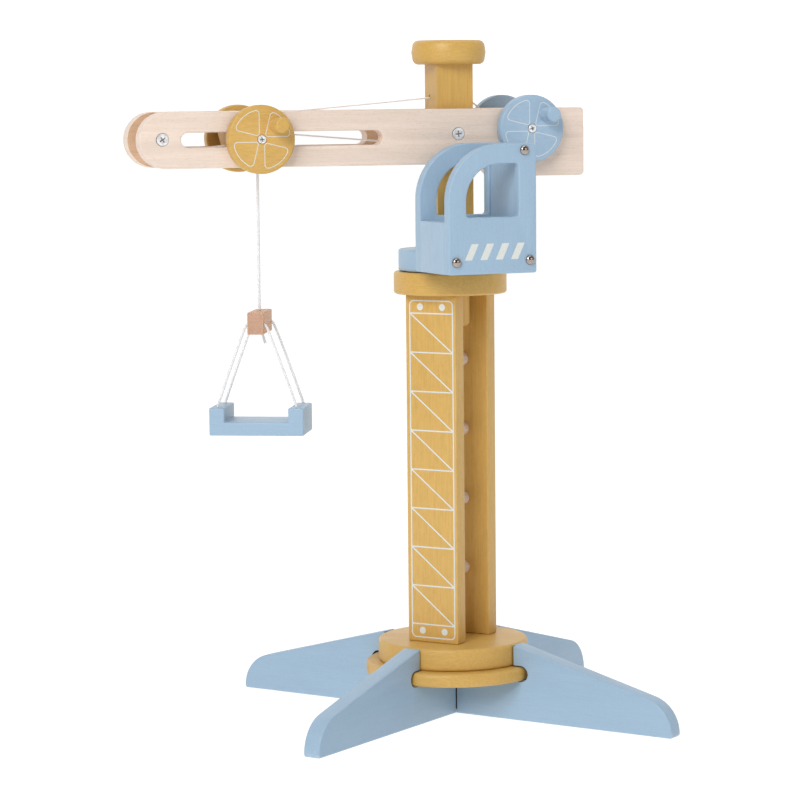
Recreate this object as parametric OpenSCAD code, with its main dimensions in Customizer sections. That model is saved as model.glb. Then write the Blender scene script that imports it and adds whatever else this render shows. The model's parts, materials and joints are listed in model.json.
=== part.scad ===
// Wooden toy tower crane with a turning jib, a trolley and a hoisted tray.
//
// Millimetres, +Z up. The origin is on the floor at the centre of the mast.
// The mast's printed panel faces -Y. Everything above the head disc turns about
// the mast and is drawn along the jib: +X is the tail, -X the tip, -Y the cab.

/* [Base] */

// Distance from the mast's centre to the end of a leg
leg_reach = 182.3; // [120:0.1:240]
// Thickness of a leg board
leg_t = 13; // [8:0.5:18]
// Drop of a leg's sloping edge, per unit of length
leg_slope = 0.262; // [0.15:0.001:0.4]
// Radius of the rounded outer end of a leg
leg_round = 25.4; // [10:0.1:30]
// Turn of the four legs from the mast's faces, degrees
legs_turn = -2.4; // [-10:0.1:10]
// Radius of the lower base disc, which sits in the legs' slots
lower_disc_r = 63; // [50:0.5:75]
// Radius of the upper base disc, which carries the mast
upper_disc_r = 54; // [40:0.5:65]
// Height of the lower base disc's underside
lower_disc_z = 29; // [20:0.5:40]
// Thickness of the lower base disc
lower_disc_t = 10; // [6:0.5:16]
// Height of the upper base disc's top face
base_top = 55; // [45:0.5:70]

/* [Mast] */

// Width of a mast panel
panel_w = 41; // [30:0.5:60]
// Thickness of a mast panel
panel_t = 12; // [8:0.5:18]
// Gap between the two mast panels
panel_gap = 34; // [28:0.5:50]
// Height of the mast panels' top ends
panel_top = 305; // [200:1:360]
// Diameter of a rung
rung_d = 9.6; // [6:0.1:12]
// Height of the lowest rung
rung_first_z = 104.1; // [80:0.1:140]
// Distance from rung to rung
rung_pitch = 50.7; // [30:0.1:70]
// Number of rungs
rung_count = 4; // [2:1:5]
// Radius of the head disc, which closes the mast
head_r = 40.5; // [34:0.5:50]
// Thickness of the head disc
head_t = 16; // [10:0.5:20]

/* [Turning head] */

// Turn of the jib about the mast, degrees
jib_turn = 48.2; // [-180:0.1:180]
// Radius of the turntable disc
turntable_r = 37; // [30:0.5:45]
// Thickness of the turntable disc
turntable_t = 15.5; // [10:0.5:20]
// Side of the square post
post_w = 27; // [20:0.5:34]
// Height of the post's top end
post_top = 468; // [400:1:520]
// Diameter of the post's round tenon, which turns in the head disc
tenon_d = 27.6; // [20:0.1:32]
// Height of the tenon's lower end
tenon_z = 281.5; // [270:0.5:300]
// Radius of the knob
knob_r = 26.5; // [20:0.5:32]
// Height of the knob
knob_h = 17; // [10:0.5:25]

/* [Jib] */

// Place of the rails' round tip end
jib_tip = -232; // [-300:1:-150]
// Place of the rails' tail end
jib_tail = 93; // [60:1:140]
// Height of a rail's lower edge
rail_z = 397.7; // [380:0.1:420]
// Height of a rail board
rail_h = 39; // [30:0.5:50]
// Thickness of a rail board
rail_t = 12; // [8:0.5:16]
// How much lower the tail of a rail hangs
tail_drop = 9.2; // [0:0.1:15]
// Place where the deeper tail begins
tail_step = 35; // [20:1:60]
// Ends of the trolley slot, tip side and mast side
slot_from = -202.5; // [-215:0.5:-180]
slot_to = -57.5; // [-90:0.5:-40]
// Height of the trolley slot
slot_h = 10.2; // [9.8:0.1:12]

/* [Winches] */

// Radius of a handwheel
wheel_r = 23.8; // [18:0.1:28]
// Thickness of a handwheel
wheel_t = 8.5; // [6:0.1:12]
// Gap between a handwheel and its rail
wheel_gap = 1.2; // [0.5:0.1:3]
// Diameter of a winch axle
axle_d = 9.6; // [8:0.1:12]
// Diameter of a crank peg
peg_d = 10.5; // [8:0.1:12]
// How far a crank peg stands out of its wheel
peg_out = 16.5; // [10:0.5:25]
// Distance from the axle to the crank peg
peg_r = 14.5; // [10:0.5:17]
// Angle of the crank pegs at rest, degrees
peg_angle = 42; // [0:1:359]
// Place of the trolley winch's axle along the jib
winch_x = 50.3; // [45:0.1:80]
// Height of the trolley winch's axle
winch_z = 422.2; // [415:0.1:428]

/* [Trolley] */

// Place of the trolley's axle along the jib
trolley_x = -147.7; // [-180:0.1:-80]
// Length of the trolley block
trolley_len = 35; // [28:0.5:45]
// Height of the trolley block
trolley_h = 20; // [16:0.5:24]
// Tilt of the trolley block about its axle, degrees
trolley_tilt = 14.5; // [0:0.5:20]

/* [Load] */

// Height of the tray's underside
tray_z = 210; // [60:1:290]
// Length, depth and height of the tray
tray_len = 67; // [50:0.5:80]
tray_w = 40; // [30:0.5:50]
tray_h = 19.5; // [15:0.5:30]
// Thickness of the tray's floor
tray_floor = 9.4; // [6:0.1:12]
// Thickness of the tray's end walls
tray_wall = 10.8; // [8:0.1:14]
// Turn of the load from the jib, degrees
load_turn = -24.8; // [-180:0.1:180]
// Length, depth and height of the spreader bar
bar_len = 11.3; // [9:0.1:16]
bar_w = 38; // [34:0.5:46]
bar_h = 15.5; // [12:0.5:20]
// Height of the spreader bar's top
bar_top = 296.5; // [280:0.5:385]
// Distance from the load's centre to each sling
sling_y = 15; // [12:0.5:17]

/* [Cab] */

// Turn of the cab from the jib, degrees
cab_turn = 6; // [0:0.5:10]
// Length of the cab
cab_len = 66.8; // [55:0.1:75]
// Width over the two side panels
cab_w = 57; // [45:0.5:65]
// Height of the side panels' lower edge
cab_z = 323.5; // [321:0.5:330]
// Height of the side panels' top edge
cab_top = 412.8; // [380:0.1:420]
// Thickness of a side panel
cab_t = 8; // [5:0.5:10]
// Radius of the side panels' round front corner
cab_r = 39; // [30:0.5:45]
// Radius of the window's round corner
window_r = 25.5; // [18:0.5:30]
// Lower edge of the window
window_z = 362.7; // [350:0.1:380]
// Place of the window's straight edge
window_to = 53.3; // [45:0.1:58]
// Thickness of the boards between the side panels
cab_board = 12; // [8:0.5:14]
// Height of the front board's top edge
cab_front_top = 359.4; // [345:0.1:365]

/* [Cords] */

// Diameter of the hoist cord
hoist_cord_d = 2; // [1:0.1:3]
// Diameter of the slings
sling_d = 1.8; // [1:0.1:2.5]
// Diameter of the trolley's pulling cord
pull_cord_d = 1.2; // [0.8:0.1:2]

/* [Hidden] */

$fn = 64;
// Radial clearance of a turning fit, and of a glued or screwed one
run_fit = 0.07;
glue_fit = 0.05;
// Overlap that keeps a cut clear of the face it starts from
eps = 1;

upper_disc_z = lower_disc_z + lower_disc_t;
head_z = panel_top;
turntable_z = head_z + head_t + 0.5;
post_z = turntable_z + turntable_t;
rail_mid = rail_z + rail_h / 2;
rail_in = post_w / 2;
rail_out = rail_in + rail_t;
wheel_in = rail_out + wheel_gap;
wheel_out = wheel_in + wheel_t;
axle_r = axle_d / 2;
// The flat on the turntable that the cab is glued to, and the cab's near corner
cab_side = 35.4;
cab_start = -43;
// Height above the floor where a leg's round end begins, and its rounded inner corner
leg_sole = 2;
leg_shoulder = 1.5;
// Gap between the legs and the base discs
base_gap = 0.3;
// Depth of a rung's seat in a mast panel, and of a crank peg's seat in its wheel
rung_seat = 6;
peg_seat = 5;
// Gap at the blind end of a seat
seat_gap = 0.3;
// Countersunk wood screws through the rails, and the depth of their holes beyond a rail
wood_head_r = 4.2;
wood_shank_r = 1.8;
wood_screw_len = 24;
pilot = wood_screw_len - rail_t + 0.5;
// Pan-head screws of the handwheels
wheel_head_r = 3;
wheel_head_h = 1.2;
wheel_shank_r = 1.5;
wheel_screw_len = wheel_t + 12;
// Domed upholstery nails of the cab
nail_head_r = 3.5;
nail_head_h = 1.9;
nail_shank_r = 1;
nail_len = 14;
// Rounding of the knob's and the handwheels' edges
knob_edge = 3.5;
wheel_edge = 1.2;
// Tip spacer between the rails, which the pulling cord runs round
tip_x = -215.5;
tip_z = 417.7;
tip_r = 10.4;
post_screw_x = -1.4;
post_screw_z = 419;
// Cord guide holes through the post
guide_top = 445.3;
guide_low = 411.2;
guide_r = 1.6;
// The pulling cord's strands keep apart across the jib
strand = 3;
// Gap between a cord and what it is wound on
cord_gap = 0.05;
// The hoist cord hangs off the tail side of the drum
drum_r = axle_r + hoist_cord_d / 2;
hoist_x = trolley_x + drum_r + cord_gap;
pull_drum_r = axle_r + pull_cord_d / 2 + cord_gap;
tip_wrap_r = tip_r + pull_cord_d / 2 + 0.25;
// Turns of cord on an axle, by their places across the jib
winch_turns = [-1.25, 0, 1.25];
hoist_turns = [-4.75, -2.65, 2.65, 4.75];
// Opening through the trolley block for the hoist cord
block_hole = 20;
block_slot = 12;
// Cord holes: in the trolley block's ends, the spreader bar and the tray
block_cord_r = 1.2;
bar_hole_z = bar_top - 8.5;
bar_cord_r = 1.35;
// Seat of the stopper knot in the spreader bar's underside
knot_r = 2.4;
knot_seat_r = 3.2;
knot_seat = 5.5;
sling_hole_r = 1.3;
sling_hole = 7;
sling_x = tray_len / 2 - tray_wall / 2;
tray_top = tray_z + tray_h;

// ---- shared shapes ----

// Turns its children with the jib about the mast
module on_jib() {
    rotate([0, 0, jib_turn]) children();
}

// A cylinder across the jib from y0 to y1, at x and z
module across(x, z, y0, y1, r) {
    translate([x, y1, z]) rotate([90, 0, 0]) cylinder(r = r, h = y1 - y0);
}

// Points of a ring of radius r about p, square to the direction d
function unit(v) = v / norm(v);
function side_of(d) = abs(d[1]) > 0.9 ? unit(cross(d, [1, 0, 0])) : unit(cross(d, [0, 1, 0]));
function ring(p, d, r, n) = [
    for (i = [0 : n - 1])
        p + r * (cos(360 * i / n) * side_of(d) + sin(360 * i / n) * cross(d, side_of(d)))
];
function heading(path, i) = unit(
    (i == 0 ? [0, 0, 0] : unit(path[i] - path[i - 1]))
    + (i == len(path) - 1 ? [0, 0, 0] : unit(path[i + 1] - path[i]))
);

// A cord of diameter d along a path, as one closed tube with eight sides
module cord(path, d) {
    n = 8;
    last = len(path) - 1;
    points = [for (i = [0 : last]) each ring(path[i], heading(path, i), d / 2, n)];
    walls = [
        for (i = [0 : last - 1]) for (k = [0 : n - 1])
            [i * n + k, (i + 1) * n + k, (i + 1) * n + (k + 1) % n, i * n + (k + 1) % n]
    ];
    ends = [[for (k = [0 : n - 1]) k], [for (k = [n - 1 : -1 : 0]) last * n + k]];
    polyhedron(points = points, faces = concat(walls, ends), convexity = 6);
}

// ---- base ----

// One leg along +X: a board on edge with a slot that grips the lower disc
module leg_board() {
    inner = upper_disc_r + base_gap;
    slot_r = (lower_disc_t + base_gap) / 2;
    slot_end = lower_disc_r + 3;
    reach = leg_reach - leg_round;
    slope = norm([leg_slope, 1]);
    lean = leg_slope / slope;
    rise = 1 / slope;
    touch_x = reach + leg_round * lean;
    touch_z = leg_sole + leg_round * rise;
    turn_x = inner + leg_shoulder;
    turn_z = touch_z + leg_slope * (touch_x - turn_x) - leg_shoulder * slope;
    difference() {
        union() {
            translate([0, leg_t / 2, 0]) rotate([90, 0, 0]) linear_extrude(leg_t)
                polygon([
                    [0, 0], [leg_reach, 0], [leg_reach, leg_sole], [reach, leg_sole],
                    [touch_x, touch_z],
                    [turn_x + leg_shoulder * lean, turn_z + leg_shoulder * rise],
                    [turn_x, turn_z], [inner, turn_z], [inner, lower_disc_z], [0, lower_disc_z],
                ]);
            intersection() {
                across(reach, leg_sole, -leg_t / 2, leg_t / 2, leg_round);
                translate([reach - leg_round, -leg_t, 0]) cube([2 * leg_round, 2 * leg_t, base_top]);
            }
            across(turn_x, turn_z, -leg_t / 2, leg_t / 2, leg_shoulder);
        }
        // Slot for the lower disc, with a round end
        translate([inner - eps, -leg_t, lower_disc_z])
            cube([slot_end - slot_r - inner + eps, 2 * leg_t, 2 * slot_r]);
        across(slot_end - slot_r, lower_disc_z + slot_r, -leg_t, leg_t, slot_r);
        // Mitred inner end, where the four boards meet
        for (side = [-1, 1])
            rotate([0, 0, side * 45]) translate([-leg_reach, side < 0 ? -leg_reach : 0, -eps])
                cube([2 * leg_reach, leg_reach, base_top]);
    }
}

module leg(turn) {
    color("#aebfd0") rotate([0, 0, legs_turn + turn]) leg_board();
}

module base_disc_lower() {
    color("#d4a85a") translate([0, 0, lower_disc_z]) cylinder(r = lower_disc_r, h = lower_disc_t);
}

module base_disc_upper() {
    color("#d4a85a") translate([0, 0, upper_disc_z])
        cylinder(r = upper_disc_r, h = base_top - upper_disc_z);
}

// ---- mast ----

module mast_panel(side) {
    inner = panel_gap / 2;
    color("#d4a85a") difference() {
        translate([-panel_w / 2, side < 0 ? -inner - panel_t : inner, base_top])
            cube([panel_w, panel_t, panel_top - base_top]);
        for (i = [0 : rung_count - 1])
            across(0, rung_first_z + i * rung_pitch, -inner - rung_seat, inner + rung_seat,
                   rung_d / 2 + glue_fit);
    }
}

module rung(i) {
    reach = panel_gap / 2 + rung_seat - seat_gap;
    color("#e3cdb2") across(0, rung_first_z + i * rung_pitch, -reach, reach, rung_d / 2);
}

module head_disc() {
    color("#d4a85a") translate([0, 0, head_z]) difference() {
        cylinder(r = head_r, h = head_t);
        translate([0, 0, -eps]) cylinder(d = tenon_d + 2 * run_fit, h = head_t + 2 * eps);
    }
}

// ---- turning head ----

module turntable() {
    color("#a9c0da") on_jib() difference() {
        translate([0, 0, turntable_z]) cylinder(r = turntable_r, h = turntable_t);
        translate([0, 0, turntable_z - eps])
            cylinder(d = tenon_d + 2 * glue_fit, h = turntable_t + 2 * eps);
        // Flat that the cab's far panel is glued to
        rotate([0, 0, cab_turn]) translate([-50, -cab_side - 20, turntable_z - eps])
            cube([100, 20, turntable_t + 2 * eps]);
    }
}

module post() {
    tenon_r = tenon_d / 2;
    chamfer = 2;
    color("#d4a85a") on_jib() difference() {
        union() {
            translate([-post_w / 2, -post_w / 2, post_z])
                cube([post_w, post_w, post_top - post_z]);
            translate([0, 0, tenon_z + chamfer]) cylinder(r = tenon_r, h = post_z - tenon_z - chamfer);
            translate([0, 0, tenon_z])
                cylinder(r1 = tenon_r - chamfer, r2 = tenon_r, h = chamfer);
        }
        // Guide holes for the pulling cord
        for (hole = [[strand, guide_top], [-strand, guide_low]])
            translate([-post_w / 2 - eps, hole[0], hole[1]]) rotate([0, 90, 0])
                cylinder(r = guide_r, h = post_w + 2 * eps);
        for (side = [-1, 1])
            across(post_screw_x, post_screw_z, side < 0 ? -post_w / 2 - eps : post_w / 2 - pilot,
                   side < 0 ? -post_w / 2 + pilot : post_w / 2 + eps, wood_shank_r + glue_fit);
    }
}

module knob() {
    color("#d4a85a") on_jib() translate([0, 0, post_top]) rotate_extrude()
        union() {
            square([knob_r - knob_edge, knob_h]);
            translate([0, knob_edge]) square([knob_r, knob_h - 2 * knob_edge]);
            for (z = [knob_edge, knob_h - knob_edge])
                translate([knob_r - knob_edge, z]) circle(r = knob_edge);
        }
}

// ---- jib ----

module rail(side) {
    y0 = side < 0 ? -rail_out : rail_in;
    y1 = y0 + rail_t;
    half = rail_h / 2;
    color("#e8d6c6") on_jib() difference() {
        union() {
            across(jib_tip + half, rail_mid, y0, y1, half);
            translate([jib_tip + half, y0, rail_z])
                cube([jib_tail - jib_tip - half, rail_t, rail_h]);
            translate([tail_step, y1, rail_z]) rotate([90, 0, 0]) linear_extrude(rail_t)
                polygon([[-tail_drop, 0], [0, -tail_drop], [jib_tail - tail_step, -tail_drop],
                         [jib_tail - tail_step, 0]]);
        }
        // Trolley slot with round ends
        translate([slot_from + slot_h / 2, y0 - eps, rail_mid - slot_h / 2])
            cube([slot_to - slot_from - slot_h, rail_t + 2 * eps, slot_h]);
        for (x = [slot_from + slot_h / 2, slot_to - slot_h / 2])
            across(x, rail_mid, y0 - eps, y1 + eps, slot_h / 2);
        // Bearing of the trolley winch
        across(winch_x, winch_z, y0 - eps, y1 + eps, axle_r + run_fit);
        screw_hole(tip_x, tip_z, side);
        screw_hole(post_screw_x, post_screw_z, side);
    }
}

// One slot of a cross recess, in a head that stands out by head_h
module cross_slot(length, width, head_h) {
    deep = 1;
    translate([-length / 2, -width / 2, -head_h - eps]) cube([length, width, deep + eps]);
}

// Clearance for a countersunk screw through a rail
module screw_hole(x, z, side) {
    across(x, z, side < 0 ? -rail_out - eps : rail_in - eps,
           side < 0 ? -rail_in + eps : rail_out + eps, wood_shank_r + glue_fit);
    head = wood_head_r - wood_shank_r;
    translate([x, side * rail_out, z]) rotate([side * 90, 0, 0])
        cylinder(r1 = wood_head_r + run_fit, r2 = wood_shank_r + glue_fit, h = head);
}

// A countersunk wood screw with its head flush at y = side * rail_out
module wood_screw(x, z, side) {
    head = wood_head_r - wood_shank_r;
    translate([x, side * rail_out, z]) rotate([side * 90, 0, 0]) difference() {
        union() {
            cylinder(r1 = wood_head_r, r2 = wood_shank_r, h = head);
            cylinder(r = wood_shank_r, h = wood_screw_len);
        }
        for (turn = [30, 120])
            rotate([0, 0, turn]) cross_slot(4.8, 1, 0);
    }
}

module rail_screws() {
    color("#b9b9b4") on_jib() for (side = [-1, 1]) {
        wood_screw(tip_x, tip_z, side);
        wood_screw(post_screw_x, post_screw_z, side);
    }
}

module tip_spacer() {
    color("#d7b991") on_jib() difference() {
        across(tip_x, tip_z, -rail_in, rail_in, tip_r);
        across(tip_x, tip_z, -rail_in - eps, -rail_in + pilot, wood_shank_r + glue_fit);
        across(tip_x, tip_z, rail_in - pilot, rail_in + eps, wood_shank_r + glue_fit);
    }
}

// ---- cab ----

// Turns its children into the cab's own place: +X to the tail, -Y outward
module in_cab() {
    on_jib() rotate([0, 0, cab_turn]) translate([cab_start, -cab_side, 0]) children();
}

// Place of each nail in a side panel, along the cab and up
cab_nail_at = [[5.6, 332.1], [61.6, 332.5], [57.6, 408.2]];

module cab_panel(y0) {
    bend = cab_top - cab_r;
    color("#a9c0da") in_cab() difference() {
        union() {
            translate([0, y0, cab_z]) cube([cab_len, cab_t, bend - cab_z]);
            translate([cab_r, y0, cab_z]) cube([cab_len - cab_r, cab_t, cab_top - cab_z]);
            intersection() {
                across(cab_r, bend, y0, y0 + cab_t, cab_r);
                translate([0, y0, bend]) cube([cab_r, cab_t, cab_r]);
            }
        }
        // Window: a quarter circle above a straight sill
        intersection() {
            union() {
                across(cab_r, bend, y0 - eps, y0 + cab_t + eps, window_r);
                translate([cab_r, y0 - eps, window_z - eps])
                    cube([window_to - cab_r, cab_t + 2 * eps, bend + window_r - window_z + eps]);
                translate([cab_r - window_r, y0 - eps, window_z - eps])
                    cube([window_r, cab_t + 2 * eps, bend - window_z + eps]);
            }
            translate([cab_r - window_r, y0 - eps, window_z])
                cube([window_to - cab_r + window_r, cab_t + 2 * eps, window_r * 2]);
        }
        for (at = cab_nail_at)
            across(at[0], at[1], y0 - eps, y0 + cab_t + eps, nail_shank_r + glue_fit);
    }
}

module cab_board(x0, z1) {
    inner = cab_w - 2 * cab_t;
    color("#a9c0da") in_cab() difference() {
        translate([x0, -cab_w + cab_t, cab_z]) cube([cab_board, inner, z1 - cab_z]);
        for (at = cab_nail_at) {
            across(at[0], at[1], -cab_w + cab_t - eps, -cab_w + nail_len + seat_gap,
                   nail_shank_r + glue_fit);
            across(at[0], at[1], -nail_len - seat_gap, -cab_t + eps, nail_shank_r + glue_fit);
        }
    }
}

// A domed upholstery nail: head on the face at y, shank into the wood
module nail(x, z, y, side) {
    ball = (nail_head_r * nail_head_r + nail_head_h * nail_head_h) / (2 * nail_head_h);
    translate([x, y, z]) rotate([-side * 90, 0, 0]) {
        intersection() {
            translate([0, 0, nail_head_h - ball]) sphere(r = ball);
            cylinder(r = nail_head_r + eps, h = nail_head_h + eps);
        }
        translate([0, 0, -nail_len]) cylinder(r = nail_shank_r, h = nail_len + 0.2);
    }
}

module cab_nails() {
    color("#3c3a3a") in_cab() for (at = cab_nail_at) {
        nail(at[0], at[1], -cab_w, -1);
        nail(at[0], at[1], 0, 1);
    }
}

// ---- winches ----

module winch_axle_at(x, z, tint) {
    hole = wheel_screw_len - wheel_t + seat_gap;
    color(tint) on_jib() difference() {
        across(x, z, -wheel_in, wheel_in, axle_r);
        across(x, z, -wheel_in - eps, -wheel_in + hole, wheel_shank_r + glue_fit);
        across(x, z, wheel_in - hole, wheel_in + eps, wheel_shank_r + glue_fit);
    }
}

// A handwheel on one side of the jib. The near one has a seat for the crank peg.
module handwheel(x, z, side, seat, tint) {
    y0 = side < 0 ? -wheel_out : wheel_in;
    color(tint) on_jib() difference() {
        translate([x, y0 + wheel_t, z]) rotate([90, 0, 0]) rotate_extrude() union() {
            square([wheel_r - wheel_edge, wheel_t]);
            translate([0, wheel_edge]) square([wheel_r, wheel_t - 2 * wheel_edge]);
            for (h = [wheel_edge, wheel_t - wheel_edge])
                translate([wheel_r - wheel_edge, h]) circle(r = wheel_edge);
        }
        across(x, z, y0 - eps, y0 + wheel_t + eps, wheel_shank_r + glue_fit);
        if (seat)
            across(x + peg_r * cos(peg_angle), z + peg_r * sin(peg_angle), y0 - eps,
                   y0 + peg_seat, peg_d / 2 + glue_fit);
    }
}

module crank_peg(x, z, tint) {
    px = x + peg_r * cos(peg_angle);
    pz = z + peg_r * sin(peg_angle);
    chamfer = 1;
    color(tint) on_jib() union() {
        across(px, pz, -wheel_out - peg_out + chamfer, -wheel_out + peg_seat - seat_gap, peg_d / 2);
        translate([px, -wheel_out - peg_out + chamfer, pz]) rotate([90, 0, 0])
            cylinder(r1 = peg_d / 2, r2 = peg_d / 2 - chamfer, h = chamfer);
    }
}

// Pan-head screws that hold the two wheels on their axle, with cross recesses
module wheel_screws(x, z) {
    color("#b9b9b4") on_jib() for (side = [-1, 1])
        translate([x, side * wheel_out, z]) rotate([side * 90, 0, 0]) difference() {
            union() {
                translate([0, 0, -wheel_head_h]) cylinder(r = wheel_head_r, h = wheel_head_h);
                cylinder(r = wheel_shank_r, h = wheel_screw_len);
            }
            for (turn = [20, 110])
                rotate([0, 0, turn]) cross_slot(3.4, 0.7, wheel_head_h);
        }
}

// Turns of cord on an axle, side by side at the places ys
module cord_turns(x, z, ys, d) {
    color("#e1e1e1") on_jib() for (y = ys)
        translate([x, y, z]) rotate([90, 0, 0])
            rotate_extrude() translate([axle_r + d / 2 + cord_gap, 0]) circle(d = d);
}

// ---- trolley ----

module trolley_block() {
    width = 2 * rail_in - 0.6;
    color("#d7b991") on_jib() translate([trolley_x, 0, rail_mid]) rotate([0, -trolley_tilt, 0])
        difference() {
            cube([trolley_len, width, trolley_h], center = true);
            cube([block_hole, block_slot, trolley_h + 2 * eps], center = true);
            across(0, 0, -width, width, axle_r + run_fit);
            // Holes for the ends of the pulling cord
            for (side = [-1, 1])
                translate([side * trolley_len / 2, 0, 0]) rotate([0, 90, 0])
                    cylinder(r = block_cord_r, h = 6, center = true);
        }
}

// ---- load ----

// Turns its children into the load's place under the hoist cord
module on_load() {
    on_jib() translate([hoist_x, 0, 0]) rotate([0, 0, load_turn]) children();
}

module spreader_bar() {
    color("#d4aa8c") on_load() difference() {
        translate([-bar_len / 2, -bar_w / 2, bar_top - bar_h]) cube([bar_len, bar_w, bar_h]);
        translate([0, 0, bar_top - bar_h - eps]) {
            cylinder(r = bar_cord_r, h = bar_h + 2 * eps);
            cylinder(r = knot_seat_r, h = knot_seat + eps);
        }
        for (side = [-1, 1])
            translate([0, side * sling_y, bar_hole_z]) rotate([0, 90, 0])
                cylinder(r = sling_hole_r, h = bar_len + 2 * eps, center = true);
    }
}

module tray() {
    color("#a3beda") on_load() difference() {
        translate([-tray_len / 2, -tray_w / 2, tray_z]) cube([tray_len, tray_w, tray_h]);
        translate([-tray_len / 2 + tray_wall, -tray_w, tray_z + tray_floor])
            cube([tray_len - 2 * tray_wall, 2 * tray_w, tray_h]);
        for (x = [-sling_x, sling_x]) for (side = [-1, 1])
            translate([x, side * sling_y, tray_top - sling_hole])
                cylinder(r = sling_hole_r, h = sling_hole + eps);
    }
}

// A sling: up from one end wall, through the spreader bar and down to the other
module sling(y) {
    half = [
        [bar_len / 2 + 0.9, bar_hole_z - 0.5],
        [bar_len / 2 + 2.2, bar_hole_z - 2.6],
        [sling_x - 0.5, tray_top + 2],
        [sling_x - 0.1, tray_top + 0.6],
        [sling_x, tray_top - 0.8],
        [sling_x, tray_top - sling_hole + 0.5],
    ];
    path = concat(
        [for (i = [len(half) - 1 : -1 : 0]) [-half[i][0], y, half[i][1]]],
        [[-bar_len / 2 + 0.6, y, bar_hole_z], [bar_len / 2 - 0.6, y, bar_hole_z]],
        [for (p = half) [p[0], y, p[1]]]
    );
    color("#e1e1e1") on_load() cord(path, sling_d);
}

module hoist_cord() {
    color("#e1e1e1") on_load() cord([[0, 0, rail_mid], [0, 0, 380], [0, 0, 340],
                                     [0, 0, bar_top + 0.5]], hoist_cord_d);
}

// The end of the hoist cord: through the bar, a stopper knot in its seat and a short tail
module hoist_knot() {
    under = bar_top - bar_h;
    color("#e1e1e1") on_load() {
        cord([
            [0, 0, bar_top + 0.5],
            [0, 0, under + 3],
            [1, 0, under + 0.6],
            [2, 0.2, under - 1.4],
            [3.8, 0.4, under - 7.6],
        ], hoist_cord_d);
        translate([0, 0, under + knot_r + 0.2]) sphere(r = knot_r);
    }
}

// ---- pulling cord: a loop from the trolley round the tip spacer and the winch ----

// Round the tip spacer from its underside to the top guide hole and the winch
module pull_cord_round_tip() {
    wrap = [
        for (a = [270 : -20 : 90])
            [tip_x + tip_wrap_r * cos(a), 0, tip_z + tip_wrap_r * sin(a)]
    ];
    run = [
        [tip_x + 8, 0.2, tip_z + tip_wrap_r + 0.6],
        [-100, 1.6, 437.3],
        [-post_w / 2 - 2, strand, guide_top - 1.1],
        [-post_w / 2 + 1, strand, guide_top - 0.9],
        [post_w / 2 - 1, strand, guide_top - 0.9],
        [post_w / 2 + 1.5, strand, guide_top - 1.7],
        [winch_x - 3.8, strand, winch_z - 4.4],
        [winch_x - 1.6, strand, winch_z - 5.5],
        [winch_x, strand, winch_z - 5.6],
    ];
    color("#e1e1e1") on_jib() cord(concat(wrap, run), pull_cord_d);
}

// From the tip spacer's underside to the trolley
module pull_cord_front() {
    end = trolley_x - trolley_len / 2 * cos(trolley_tilt);
    drop = trolley_len / 2 * sin(trolley_tilt);
    color("#e1e1e1") on_jib() cord([
        [tip_x + 0.5, 0, tip_z - tip_wrap_r],
        [end + 1.5, 0, rail_mid - drop + 0.4],
    ], pull_cord_d);
}

// From the trolley to the post
module pull_cord_back() {
    end = trolley_x + trolley_len / 2 * cos(trolley_tilt);
    rise = trolley_len / 2 * sin(trolley_tilt);
    color("#e1e1e1") on_jib() cord([
        [end - 1.5, 0, rail_mid + rise - 0.4],
        [-post_w / 2 - 3.5, -strand, guide_low],
    ], pull_cord_d);
}

// Through the post's lower guide hole and up over the winch axle
module pull_cord_to_winch() {
    color("#e1e1e1") on_jib() cord([
        [-post_w / 2 - 3, -strand, guide_low],
        [post_w / 2 + 2, -strand, guide_low],
        [winch_x - 2, -strand, winch_z + pull_drum_r - 0.1],
        [winch_x, -strand, winch_z + pull_drum_r + 0.02],
    ], pull_cord_d);
}

leg(0);  // leg_right
leg(90);  // leg_back
leg(180);  // leg_left
leg(270);  // leg_front
base_disc_lower();
base_disc_upper();
mast_panel(-1);  // mast_panel_front
mast_panel(1);  // mast_panel_back
rung(0);  // rung_1
rung(1);  // rung_2
rung(2);  // rung_3
rung(3);  // rung_4
head_disc();
turntable();
post();
knob();
rail(-1);  // rail_near
rail(1);  // rail_far
rail_screws();
tip_spacer();
cab_panel(-cab_w);  // cab_panel_near
cab_panel(-cab_t);  // cab_panel_far
cab_board(0, cab_front_top);  // cab_front_board
cab_board(cab_len - cab_board, cab_top);  // cab_back_board
cab_nails();
winch_axle_at(winch_x, winch_z, "#a9c0da");  // winch_axle
handwheel(winch_x, winch_z, -1, true, "#a9c0da");  // winch_wheel_near
handwheel(winch_x, winch_z, 1, false, "#a9c0da");  // winch_wheel_far
crank_peg(winch_x, winch_z, "#a9c0da");  // winch_peg
wheel_screws(winch_x, winch_z);  // winch_screws
cord_turns(winch_x, winch_z, winch_turns, pull_cord_d);  // winch_cord_turns
trolley_block();
winch_axle_at(trolley_x, rail_mid, "#d7b991");  // hoist_axle
handwheel(trolley_x, rail_mid, -1, true, "#d4a85a");  // hoist_wheel_near
handwheel(trolley_x, rail_mid, 1, false, "#d4a85a");  // hoist_wheel_far
crank_peg(trolley_x, rail_mid, "#d4a85a");  // hoist_peg
wheel_screws(trolley_x, rail_mid);  // hoist_screws
cord_turns(trolley_x, rail_mid, hoist_turns, hoist_cord_d);  // hoist_cord_turns
pull_cord_round_tip();
pull_cord_front();
pull_cord_back();
pull_cord_to_winch();
hoist_cord();
hoist_knot();
spreader_bar();
sling(-sling_y);  // sling_near
sling(sling_y);  // sling_far
tray();
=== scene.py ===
"""The looks of a wooden toy tower crane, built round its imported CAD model. Metres, +Z up."""

import json
import math

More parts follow.
